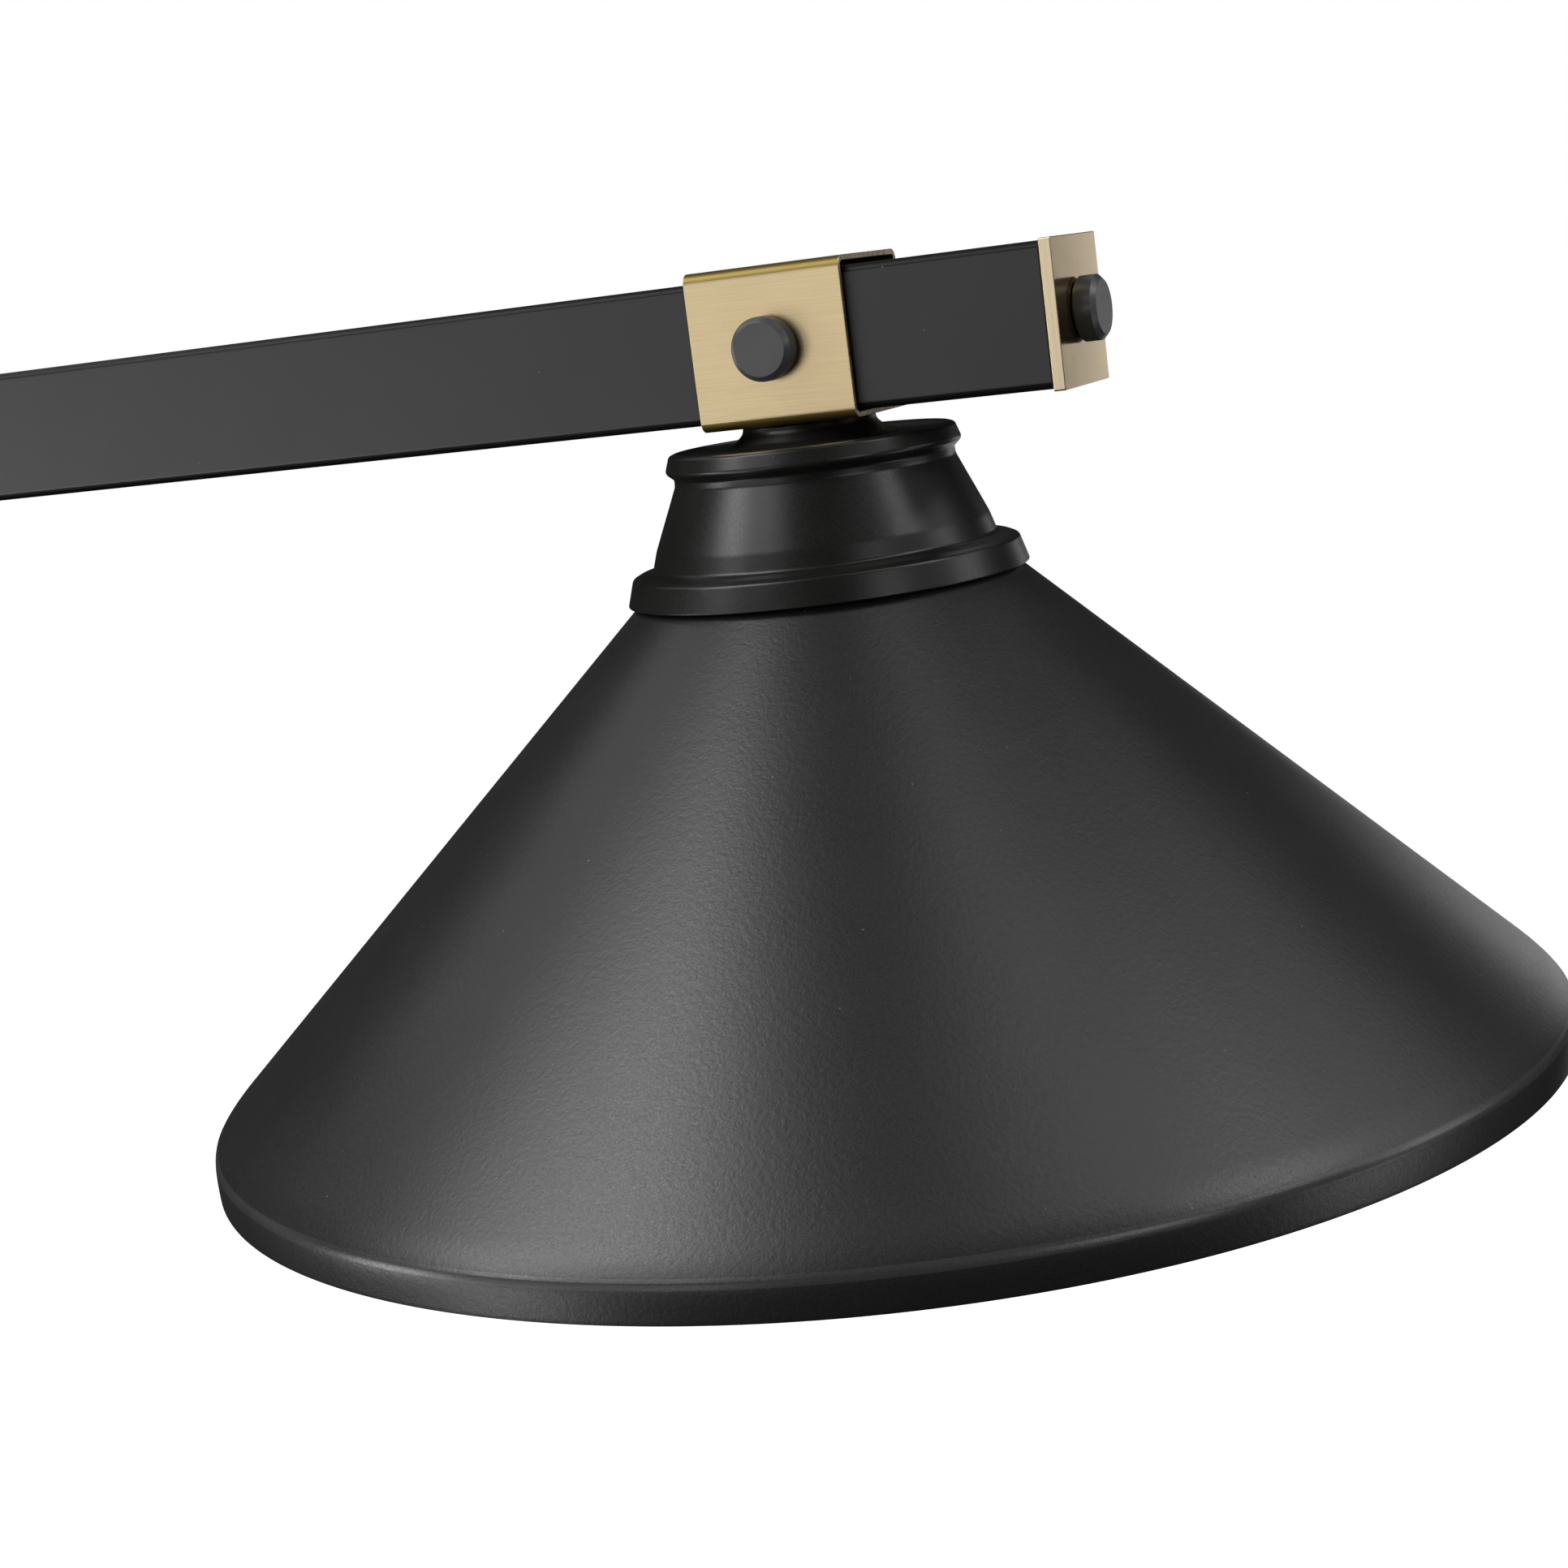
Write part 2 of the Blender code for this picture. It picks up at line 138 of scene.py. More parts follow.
def rounded_path(points, closed=False):
    """Points of a path in mm, given as (across, along, corner radius), with its corners rounded."""
    made = []
    count = len(points)
    for n, (a, b, radius) in enumerate(points):
        here = Vector((a, b))
        is_end = not closed and n in (0, count - 1)
        if is_end or radius <= 0:
            made.append(here)
            continue
        before = Vector(points[n - 1][:2]) - here
        after = Vector(points[(n + 1) % count][:2]) - here
        bend = math.pi - before.angle(after)
        if bend < 0.01:
            made.append(here)
            continue
        reach = min(radius * math.tan(bend / 2), before.length * 0.49, after.length * 0.49)
        start = here + before.normalized() * reach
        finish = here + after.normalized() * reach
        steps = max(3, round(math.degrees(bend) / 7))
        for step in range(steps + 1):
            t = step / steps
            made.append(start * (1 - t) ** 2 + here * 2 * t * (1 - t) + finish * t * t)
    return made


def curve(start, bend, finish, steps):
    """Points of a quadratic curve after its start."""
    start, bend, finish = Vector(start), Vector(bend), Vector(finish)
    return [start.lerp(bend, n / steps).lerp(bend.lerp(finish, n / steps), n / steps)
            for n in range(1, steps + 1)]


def subdivide_long(path, longest):
    """Path with points added so that no stretch is longer than a limit in mm."""
    made = [path[0]]
    for before, after in zip(path, path[1:]):
        pieces = max(1, math.ceil((after - before).length / longest))
        for n in range(1, pieces + 1):
            made.append(before.lerp(after, n / pieces))
    return made


def thread_points(radius, high, low, pitch, depth):
    """Ridges of a screw thread down a turned side."""
    count = int((high - low) / pitch)
    points = []
    for n in range(count):
        z = high - n * pitch
        points += [(radius - depth, z, 0.2), (radius, z - pitch / 2, 0.3)]
    return points


def new_piece(name, work, place=(0, 0, 0)):
    """Turn a bmesh in metres into a smooth named object."""
    bmesh.ops.recalc_face_normals(work, faces=work.faces)
    data = bpy.data.meshes.new(name)
    work.to_mesh(data)
    work.free()
    for face in data.polygons:
        face.use_smooth = True
    piece = bpy.data.objects.new(name, data)
    bpy.context.scene.collection.objects.link(piece)
    piece.location = place
    return piece


def even_normals(piece):
    """Let large faces keep their own normal beside narrow rounded edges."""
    step = piece.modifiers.new("even_normals", "WEIGHTED_NORMAL")
    step.mode = "FACE_AREA"
    step.weight = 80
    step.keep_sharp = True


def lathe(name, path, place, sides=ROUND, closed=False, axis="Z"):
    """Turn a path of (radius, height) in mm about its own axis."""
    work = bmesh.new()
    points = [work.verts.new((p[0] * MM, 0, p[1] * MM)) for p in path]
    pairs = list(zip(points, points[1:]))
    if closed:
        pairs.append((points[-1], points[0]))
    edges = [work.edges.new(pair) for pair in pairs]
    bmesh.ops.spin(work, geom=points + edges, axis=(0, 0, 1), cent=(0, 0, 0),
                   steps=sides, angle=math.tau, use_merge=True)
    bmesh.ops.remove_doubles(work, verts=work.verts, dist=0.5e-6)
    if axis != "Z":
        turns = {"-Y": Matrix.Rotation(math.radians(90), 4, "X"),
                 "+X": Matrix.Rotation(math.radians(90), 4, "Y"),
                 "-X": Matrix.Rotation(math.radians(-90), 4, "Y")}
        bmesh.ops.transform(work, matrix=turns[axis], verts=work.verts)
    piece = new_piece(name, work, place)
    even_normals(piece)
    return piece


def square_outline(size_a, size_b, corner, steps=8):
    """Rectangle with round corners, as points in mm."""
    points = []
    corners = ((1, 1, 0), (-1, 1, 90), (-1, -1, 180), (1, -1, 270))
    for side_a, side_b, start in corners:
        mid_a = side_a * (size_a / 2 - corner)
        mid_b = side_b * (size_b / 2 - corner)
        for step in range(steps + 1):
            turn = math.radians(start + 90 * step / steps)
            points.append((mid_a + corner * math.cos(turn), mid_b + corner * math.sin(turn)))
    return points


def loft(name, rings, place, closed=False, caps=False):
    """Skin a list of rings, each a list of points in mm, with the same count in each."""
    work = bmesh.new()
    made = [[work.verts.new(Vector(p) * MM) for p in ring] for ring in rings]
    count = len(rings[0])
    pairs = list(zip(made, made[1:]))
    if closed:
        pairs.append((made[-1], made[0]))
    for low, high in pairs:
        for n in range(count):
            after = (n + 1) % count
            work.faces.new((low[n], low[after], high[after], high[n]))
    if caps:
        work.faces.new(list(reversed(made[0])))
        work.faces.new(made[-1])
    piece = new_piece(name, work, place)
    even_normals(piece)
    return piece


def square_tube(name, length, size, wall, corner, edge, place):
    """Square tube along X with rounded corners and slightly eased ends."""
    half = length / 2
    inner = size - 2 * wall
    inner_corner = max(corner - wall, 0.5)
    turns = (0.0, 0.3, 0.7, 1.0)

    def ring(x, grow, outer):
        """Outline of the tube's outer or inner side at one place along it."""
        base, radius = (size, corner) if outer else (inner, inner_corner)
        outline = square_outline(base + 2 * grow, base + 2 * grow, max(radius + grow, 0.1))
        return [(x, a, b) for a, b in outline]

    rings = []
    for side, outer in ((1, True), (1, False), (-1, False), (-1, True)):
        sign = -1 if outer else 1
        leading = (side == 1) == outer
        for t in turns if leading else reversed(turns):
            bend = math.radians(90 * t)
            rings.append(ring(side * (half - edge + edge * math.sin(bend)),
                              sign * edge * (1 - math.cos(bend)), outer))
    return loft(name, rings, place, closed=True)


def drill(piece, radius, length, axis, place):
    """Cut a round hole through a piece; the cutter is removed again."""
    turns = {"X": Matrix.Rotation(math.radians(90), 4, "Y"),
             "Y": Matrix.Rotation(math.radians(90), 4, "X"), "Z": Matrix.Identity(4)}
    work = bmesh.new()
    bmesh.ops.create_cone(work, cap_ends=True, segments=48, radius1=radius * MM,
                          radius2=radius * MM, depth=length * MM, matrix=turns[axis])
    cutter = new_piece("cutter", work, place)
    step = piece.modifiers.new("hole", "BOOLEAN")
    step.operation = "DIFFERENCE"
    step.solver = "EXACT"
    step.object = cutter
    bpy.context.view_layer.update()
    graph = bpy.context.evaluated_depsgraph_get()
    cut = bpy.data.meshes.new_from_object(piece.evaluated_get(graph))
    piece.modifiers.clear()
    piece.data = cut
    bpy.data.objects.remove(cutter)
    even_normals(piece)


def offset_path(path, depth):
    """Path moved sideways by depth, to its right as it runs."""
    moved = []
    for n, point in enumerate(path):
        before = path[max(n - 1, 0)]
        after = path[min(n + 1, len(path) - 1)]
        along = (after - before).normalized()
        moved.append(point + Vector((along.y, -along.x)) * depth)
    return moved


def flute(piece, count, depth, low, high, inner):
    """Press grip flutes into the outer side of a turned piece between two heights in mm."""
    for vertex in piece.data.vertices:
        x, y, z = vertex.co
        radius = math.hypot(x, y)
        if radius > inner * MM and low * MM <= z <= high * MM:
            wave = 0.5 + 0.5 * math.cos(count * math.atan2(y, x))
            shrink = 1 - depth * MM * wave ** 2 / radius
            vertex.co = (x * shrink, y * shrink, z)


def end_faces_to(piece, axis, index):
    """Give the faces that look along an axis another of the piece's materials."""
    for face in piece.data.polygons:
        if abs(face.normal[axis]) > 0.9:
            face.material_index = index


def corner_faces_to(piece, index):
    """Give the rounded long corners of a tube along X another material, a darker one that paints
    the shade these corners reflect.
    """
    for face in piece.data.polygons:
        flat_on = max(abs(face.normal.y), abs(face.normal.z))
        if abs(face.normal.x) < 0.1 and flat_on < 0.985:
            face.material_index = index


def place_piece(piece, body, slot, nodes, *materials):
    """Give a piece its materials and body, and hide the CAD nodes it stands for; the slot argument
    is not used.
    """
    piece.data.materials.clear()
    for material in materials:
        piece.data.materials.append(material)
    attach(piece, body)
    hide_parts(*nodes)


# ---------------------------------------------------------------- materials

MIX_FIRST, MIX_SECOND, MIX_RESULT = 6, 7, 2     # colour sockets of the Mix node


class Nodes:
    """Short-hand for building one material's node tree."""

    def __init__(self, name):
        """Start a material with its shader and its object coordinate."""
        self.material = bpy.data.materials.new(name)
        self.material.use_nodes = True
        self.tree = self.material.node_tree
        self.shader = self.tree.nodes["Principled BSDF"]
        self.place = self.add("ShaderNodeTexCoord").outputs["Object"]

    def add(self, kind, **settings):
        """A new node with some of its settings."""
        node = self.tree.nodes.new(kind)
        for key, value in settings.items():
            setattr(node, key, value)
        return node

    def link(self, source, target):
        """Join an output to an input."""
        self.tree.links.new(source, target)

    def stretch(self, scale, source=None):
        """Object position times a scale for each axis."""
        node = self.add("ShaderNodeMapping")
        node.inputs["Scale"].default_value = scale
        self.link(source or self.place, node.inputs["Vector"])
        return node.outputs["Vector"]

    def rings(self, scale):
        """Coordinate that is the same all round the local Z axis, for turning marks."""
        apart = self.add("ShaderNodeSeparateXYZ")
        self.link(self.place, apart.inputs[0])
        flat = self.add("ShaderNodeCombineXYZ")
        self.link(apart.outputs["X"], flat.inputs["X"])
        self.link(apart.outputs["Y"], flat.inputs["Y"])
        radius = self.add("ShaderNodeVectorMath", operation="LENGTH")
        self.link(flat.outputs[0], radius.inputs[0])
        both = self.add("ShaderNodeCombineXYZ")
        self.link(radius.outputs["Value"], both.inputs["X"])
        self.link(apart.outputs["Z"], both.inputs["Z"])
        return self.stretch((scale, scale, scale), both.outputs[0])

    def noise(self, where, scale, detail=2.0, rough=0.5):
        """Noise factor at a coordinate."""
        node = self.add("ShaderNodeTexNoise")
        node.inputs["Scale"].default_value = scale
        node.inputs["Detail"].default_value = detail
        node.inputs["Roughness"].default_value = rough
        self.link(where, node.inputs["Vector"])
        return node.outputs["Fac"]

    def between(self, value, low, high, from_low=0.0, from_high=1.0):
        """Value mapped from one range to another, clamped."""
        node = self.add("ShaderNodeMapRange")
        node.inputs["From Min"].default_value = from_low
        node.inputs["From Max"].default_value = from_high
        node.inputs["To Min"].default_value = low
        node.inputs["To Max"].default_value = high
        self.link(value, node.inputs["Value"])
        return node.outputs["Result"]

    def maths(self, operation, first, second):
        """One sum of two values, each a socket or a number."""
        node = self.add("ShaderNodeMath", operation=operation)
        for socket, value in zip(node.inputs, (first, second)):
            if isinstance(value, (int, float)):
                socket.default_value = value
            else:
                self.link(value, socket)
        return node.outputs[0]

    def colours(self, factor, first, second):
        """Blend of two colours by a factor."""
        node = self.add("ShaderNodeMix", data_type="RGBA")
        node.inputs[MIX_FIRST].default_value = (*first, 1)
        node.inputs[MIX_SECOND].default_value = (*second, 1)
        self.link(factor, node.inputs["Factor"])
        return node.outputs[MIX_RESULT]

    def spotted(self, factor, base, spot):
        """A plain colour laid over a base where the factor is high."""
        node = self.add("ShaderNodeMix", data_type="RGBA")
        self.link(factor, node.inputs["Factor"])
        self.link(base, node.inputs[MIX_FIRST])
        node.inputs[MIX_SECOND].default_value = (*spot, 1)
        return node.outputs[MIX_RESULT]

    def bump(self, height, strength, depth, below=None):
        """Bump node over another; depth in mm."""
        node = self.add("ShaderNodeBump")
        node.inputs["Strength"].default_value = strength
        node.inputs["Distance"].default_value = depth * MM
        self.link(height, node.inputs["Height"])
        if below is not None:
            self.link(below, node.inputs["Normal"])
        return node.outputs["Normal"]

    def finish(self, colour=None, roughness=None, normal=None, **fixed):
        """Join the textures to the shader and set its fixed values; gives the material."""
        for name, source in (("Base Color", colour), ("Roughness", roughness),
                             ("Normal", normal)):
            if source is not None:
                self.link(source, self.shader.inputs[name])
        for name, value in fixed.items():
            self.shader.inputs[name.replace("_", " ")].default_value = value
        return self.material


def specks(nodes, scale, reach):
    """1 at sparse tiny dots, 0 elsewhere."""
    dots = nodes.add("ShaderNodeTexVoronoi")
    dots.inputs["Scale"].default_value = scale
    nodes.link(nodes.place, dots.inputs["Vector"])
    return nodes.between(dots.outputs["Distance"], 1.0, 0.0, reach * 0.4, reach)


def powder_coat(name, colour, roughness, peel, grain, shine=0.5):
    """Powder coat: orange peel, fine grain, faint mottling and dust specks."""
    nodes = Nodes(name)
    wide = nodes.noise(nodes.place, 45.0, 3.0)
    orange_peel = nodes.noise(nodes.place, 700.0, 2.0, 0.5)
    fine = nodes.noise(nodes.place, 1800.0, 2.0)
    dots = specks(nodes, 95.0, 0.035)
    pale = tuple(c * 1.12 for c in colour)
    deep = tuple(c * 0.9 for c in colour)
    mottled = nodes.colours(nodes.between(wide, 0, 1, 0.3, 0.7), deep, pale)
    dusty = nodes.spotted(nodes.maths("MULTIPLY", dots, 0.5), mottled, (0.16, 0.16, 0.155))
    gloss = nodes.between(fine, roughness - 0.045, roughness + 0.045, 0.3, 0.7)
    normal = nodes.bump(orange_peel, peel, 0.16)
    normal = nodes.bump(fine, grain, 0.08, normal)
    normal = nodes.bump(dots, 0.5, 0.06, normal)
    return nodes.finish(dusty, gloss, normal, Specular_IOR_Level=shine)


def satin_black(name, colour, roughness, shine=0.5):
    """Satin black paint over turned metal, with faint turning lines under it."""
    nodes = Nodes(name)
    lines = nodes.noise(nodes.rings(1.0), 1500.0, 2.0, 0.6)
    orange_peel = nodes.noise(nodes.place, 560.0, 2.0, 0.45)
    fine = nodes.noise(nodes.place, 2600.0, 1.0)
    dots = specks(nodes, 130.0, 0.05)
    wide = nodes.noise(nodes.place, 60.0, 2.0)
    base = nodes.colours(nodes.between(wide, 0, 1, 0.3, 0.7), tuple(c * 0.8 for c in colour),
                         tuple(c * 1.2 for c in colour))
    gloss = nodes.between(fine, roughness - 0.05, roughness + 0.05, 0.3, 0.7)
    normal = nodes.bump(orange_peel, 0.2, 0.08)
    normal = nodes.bump(lines, 0.14, 0.02, normal)
    normal = nodes.bump(fine, 0.12, 0.03, normal)
    normal = nodes.bump(dots, 0.5, 0.06, normal)
    return nodes.finish(base, gloss, normal, Specular_IOR_Level=shine)


def brushed_brass(name, stretch, dark, pale, roughness):
    """Satin brass whose brush lines run along the axis with the smallest stretch."""
    nodes = Nodes(name)
    along = nodes.stretch(stretch)
    lines = nodes.noise(along, 1.0, 3.0, 0.65)
    deeper = nodes.noise(nodes.stretch(tuple(s * 0.35 for s in stretch)), 1.0, 2.0)
    cloud = nodes.noise(nodes.place, 38.0, 2.0)
    pits = specks(nodes, 240.0, 0.06)
    mixed = nodes.maths("ADD", nodes.maths("MULTIPLY", lines, 0.6),
                        nodes.maths("MULTIPLY", deeper, 0.24))
    mixed = nodes.maths("ADD", mixed, nodes.maths("MULTIPLY", cloud, 0.16))
    base = nodes.colours(nodes.between(mixed, 0, 1, 0.3, 0.7), dark, pale)
    pitted = nodes.spotted(nodes.maths("MULTIPLY", pits, 0.35), base, (0.12, 0.085, 0.04))
    gloss = nodes.between(lines, roughness - 0.04, roughness + 0.04, 0.3, 0.7)
    normal = nodes.bump(lines, 0.12, 0.008)
    normal = nodes.bump(deeper, 0.1, 0.01, normal)
    return nodes.finish(pitted, gloss, normal, Metallic=1.0)


def cut_brass(name):
    """Sawn brass edge: pale, grainy, with dark pits."""
    nodes = Nodes(name)
    grain = nodes.noise(nodes.place, 1500.0, 3.0, 0.7)
    coarse = nodes.noise(nodes.place, 420.0, 2.0)
    mixed = nodes.maths("ADD", nodes.maths("MULTIPLY", grain, 0.7),
                        nodes.maths("MULTIPLY", coarse, 0.3))
    base = nodes.colours(nodes.between(mixed, 0, 1, 0.38, 0.6), (0.24, 0.19, 0.11),
                         (0.72, 0.62, 0.44))
    gloss = nodes.between(grain, 0.3, 0.62, 0.3, 0.7)
    normal = nodes.bump(grain, 0.5, 0.1)
    return nodes.finish(base, gloss, normal, Metallic=1.0)


def zinc_plate(name):
    """Bright zinc plating with its cloudy blue-yellow cast."""
    nodes = Nodes(name)
    cloud = nodes.noise(nodes.place, 90.0, 4.0, 0.6)
    grain = nodes.noise(nodes.place, 1800.0, 2.0)
    base = nodes.colours(nodes.between(cloud, 0, 1, 0.3, 0.7), (0.55, 0.56, 0.57),
                         (0.63, 0.62, 0.58))
    gloss = nodes.between(cloud, 0.34, 0.42, 0.3, 0.7)
    return nodes.finish(base, gloss, nodes.bump(grain, 0.2, 0.04), Metallic=1.0)


def moulded_resin(name, colour, roughness):
    """Moulded plastic with a fine spark-eroded grain."""
    nodes = Nodes(name)
    grain = nodes.noise(nodes.place, 1400.0, 3.0)
    wide = nodes.noise(nodes.place, 70.0, 2.0)
    base = nodes.colours(nodes.between(wide, 0, 1, 0.3, 0.7), tuple(c * 0.9 for c in colour),
                         tuple(min(c * 1.08, 0.95) for c in colour))
    gloss = nodes.between(grain, roughness - 0.06, roughness + 0.06, 0.3, 0.7)
    return nodes.finish(base, gloss, nodes.bump(grain, 0.15, 0.04), Specular_IOR_Level=0.5)


def opal_glass(name):
    """Frosted opal bulb glass, with a little light passing just under its skin."""
    nodes = Nodes(name)
    frost = nodes.noise(nodes.place, 2200.0, 2.0)
    wide = nodes.noise(nodes.place, 35.0, 2.0)
    base = nodes.colours(nodes.between(wide, 0, 1, 0.3, 0.7), (0.84, 0.84, 0.81),
                         (0.9, 0.9, 0.88))
    gloss = nodes.between(frost, 0.2, 0.34, 0.3, 0.7)
    return nodes.finish(base, gloss, nodes.bump(frost, 0.06, 0.02), Coat_Weight=0.3,
                        Subsurface_Weight=0.25, Subsurface_Scale=0.004)


def make_materials():
    """Every finish on the lamp."""
    return {
        "bar": powder_coat("bar_black", (0.012, 0.012, 0.0123), 0.40, 0.06, 0.08),
        # Darker, duller coat on the bar's rounded corners: painted shade for the dark they reflect.
        "bar_edges_painted_shade": powder_coat("painted_shade_bar_edges", (0.006, 0.006, 0.0062), 0.46, 0.06, 0.08,
                                  0.15),
        "shade": powder_coat("shade_black", (0.012, 0.012, 0.0122), 0.38, 0.34, 0.3),
        # Paler, glossier coat on a band along the crease: a painted highlight.
        "crease": powder_coat("shade_crease_painted_highlight", (0.034, 0.034, 0.0342), 0.31, 0.2, 0.2),
        "enamel": powder_coat("shade_white_inside", (0.72, 0.72, 0.69), 0.35, 0.2, 0.15),
        "canopy": powder_coat("canopy_black", (0.013, 0.013, 0.0132), 0.38, 0.22, 0.25),
        "collar": satin_black("collar_black", (0.0075, 0.0075, 0.0069), 0.33, 0.37),
        "fitting": satin_black("fitting_black", (0.012, 0.012, 0.0118), 0.32),
        "knob": satin_black("knob_black", (0.055, 0.055, 0.056), 0.36),
        "brass": brushed_brass("sleeve_brass", (70.0, 6500.0, 6500.0), (0.52, 0.405, 0.23),
                               (0.68, 0.55, 0.335), 0.33),
        "plate": brushed_brass("plate_brass", (5000.0, 5000.0, 60.0), (0.66, 0.505, 0.295),
                               (0.78, 0.605, 0.365), 0.15),
        "plate_edge": brushed_brass("plate_edge_brass", (4200.0, 4200.0, 60.0),
                                    (0.54, 0.435, 0.28), (0.74, 0.62, 0.43), 0.34),
        # Dark, dull brass on the sleeves' rounded corners: painted shade for the dark they reflect.
        "corner": brushed_brass("painted_shade_corner_brass", (70.0, 6500.0, 6500.0), (0.17, 0.122, 0.036),
                                (0.23, 0.17, 0.056), 0.48),
        "turned_brass": brushed_brass("turned_brass", (300.0, 300.0, 5000.0),
                                      (0.75, 0.555, 0.28), (0.87, 0.665, 0.365), 0.24),
        "cut": cut_brass("cut_brass"),
        "zinc": zinc_plate("zinc_plate"),
        "resin": moulded_resin("black_resin", (0.018, 0.018, 0.018), 0.42),
        "housing": moulded_resin("bulb_housing", (0.8, 0.8, 0.78), 0.38),
        "opal": opal_glass("bulb_opal"),
    }


# ---------------------------------------------------------------- pieces

def make_bar(skins):
    """Square tube with its holes for the nipples and the stem feet."""
    at = Vector((0, 0, BAR_Z))
    size = BAR_SIZE / MM
    bar = square_tube("bar", BAR_LENGTH / MM, size, WALL, 2.3, 0.3, at)
    under = [(middle("collar_" + name).x, BAR_Z - BAR_SIZE / 2) for name in LAMPS]
    above = [(middle("stem_foot_" + name).x, BAR_Z + BAR_SIZE / 2) for name in SIDES]
    for x, z in under + above:
        drill(bar, NIPPLE_HOLE, 10, "Z", Vector((x, 0, z)))
    place_piece(bar, "lamp_frame", "black_powder", ["bar_tube"], skins["bar"],
                skins["bar_edges_painted_shade"])
    # The rounded corners take the darker coat, which paints the shade they reflect.
    corner_faces_to(bar, 1)


def make_sleeve(name, skins):
    """Brass sleeve with sawn ends."""
    node = "sleeve_" + name
    size = extent(node)
    at = middle(node)
    sleeve = square_tube("brass_sleeve_" + name, size.x / MM, size.y / MM, WALL, 3.0, 0.18, at)
    drill(sleeve, SCREW_HOLE, 8, "Y", Vector((at.x, -size.y / 2, BAR_Z)))
    drill(sleeve, NIPPLE_HOLE, 8, "Z", Vector((at.x, 0, at.z - size.z / 2)))
    place_piece(sleeve, "lamp_frame", "brushed_brass", [node], skins["brass"], skins["cut"],
                skins["corner"])
    end_faces_to(sleeve, 0, 1)
    # The rounded corners take the dark brass, which paints the shade they reflect.
    corner_faces_to(sleeve, 2)


def make_end_plate(name, skins):
    """Square brass plate with eased edges and its screw hole."""
    node = "end_plate_" + name
    low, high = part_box(node)
    thick = (high.x - low.x) / MM
    side = (high.y - low.y) / MM
    ease = 0.22
    rings = []
    for x, grow in ((-thick / 2, -ease), (-thick / 2 + ease * 0.3, -ease * 0.3),
                    (-thick / 2 + ease, 0), (thick / 2 - ease, 0),
                    (thick / 2 - ease * 0.3, -ease * 0.3), (thick / 2, -ease)):
        outline = square_outline(side + 2 * grow, side + 2 * grow, 0.5 + grow, 4)
        rings.append([(x, a, b) for a, b in outline])
    plate = loft("brass_end_plate_" + name, rings, (low + high) / 2, caps=True)
    drill(plate, SCREW_HOLE, 12, "X", (low + high) / 2)
    place_piece(plate, "lamp_frame", "brushed_brass", [node], skins["plate"], skins["plate_edge"])
    for face in plate.data.polygons:
        if abs(face.normal.x) < 0.5:
            face.material_index = 1


def knob_path(shank):
    """Knob head with a bevelled face, an undercut foot and its plain shank."""
    return rounded_path([(0, KNOB_TALL, 0), (7.2, KNOB_TALL, 0.25), (8.6, 5.0, 0.25),
                         (8.6, 0.65, 0.15), (7.9, 0.45, 0.1), (7.9, 0.0, 0.1), (2.5, 0, 0),
                         (2.5, -shank, 0.3), (0, -shank, 0)])


def make_knob(node, body, axis, foot, shank, skins):
    """One thumb knob; foot is the middle of its underside."""
    knob = lathe("thumb_" + node, knob_path(shank), foot, SMALL_ROUND, axis=axis)
    place_piece(knob, body, "knob_black", [node], skins["knob"])


def make_knobs(skins):
    """The knobs on the sleeves and the ends."""
    for name in LAMPS:
        node = "sleeve_knob_" + name
        low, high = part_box(node)
        foot = Vector(((low.x + high.x) / 2, low.y + KNOB_TALL * MM, (low.z + high.z) / 2))
        make_knob(node, node + "_body", "-Y", foot, 2.3, skins)
    for name, sign in ENDS:
        node = "end_knob_" + name
        low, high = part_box(node)
        face = high.x if sign > 0 else low.x
        foot = Vector((face - sign * KNOB_TALL * MM, 0, (low.z + high.z) / 2))
        make_knob(node, node + "_body", "+X" if sign > 0 else "-X", foot, 13.35, skins)


def collar_path():
    """Neck, dished top, bead, groove, swelling bell and lower flange, heights below the bar."""
    outer = [(18.3, -21.2, 0.3), (18.6, -23.0, 4), (21.4, -25.6, 3.0), (24.5, -26.5, 3),
             (36.6, -26.5, 2), (38.2, -25.95, 0.8), (39.7, -26.5, 1.2), (41.2, -30.9, 1.6),
             (38.9, -32.9, 1.0), (39.0, -34.9, 2.5), (41.2, -40.0, 12), (44.0, -46.4, 14),
             (46.4, -52.0, 12), (48.0, -57.2, 1.6), (52.0, -58.1, 1.6), (53.9, -59.0, 1.4),
             (56.0, -66.05, 0.4), (55.0, -66.3, 0.2)]
    inner = [(54.0, -66.3, 0.2), (52.0, -61.0, 1), (46.2, -58.4, 1), (37.4, -35.0, 1),
             (37.4, -28.0, 1), (16.8, -27.4, 1), (16.0, -22.9, 0.5), (5.3, -22.9, 0.2),
             (5.3, -21.2, 0.2)]
    return rounded_path(outer + inner, closed=True)


# Points of the shade as (radius, height from the bar's middle), in mm.
BEND_START = (183.5, -190.31)
CREASE = (189.9, -197.6)
SKIRT_TOP = (190.28, -198.6)
SKIRT_FOOT = (190.5, -207.6)
CREASE_HIGHLIGHT_BAND = (-199.4, -197.2)   # heights of the paler, glossier coat along the crease, a painted highlight
RIM_TOP = -207.3                 # the sheet's edge below this is black


def shade_path():
    """Sheet metal cone that bends over to a crisp crease, then a skirt that curves to upright."""
    cone = rounded_path([(21.2, -66.6, 0), (53.4, -66.6, 2.2), (*BEND_START, 0)])
    bend = curve(BEND_START, (188.21, -194.79), CREASE, 8)
    crease = curve(CREASE, (190.13, -198.05), SKIRT_TOP, 4)
    skirt = curve(SKIRT_TOP, (190.85, -200.6), SKIRT_FOOT, 12)
    return subdivide_long(cone + bend + crease + skirt, 6.0)


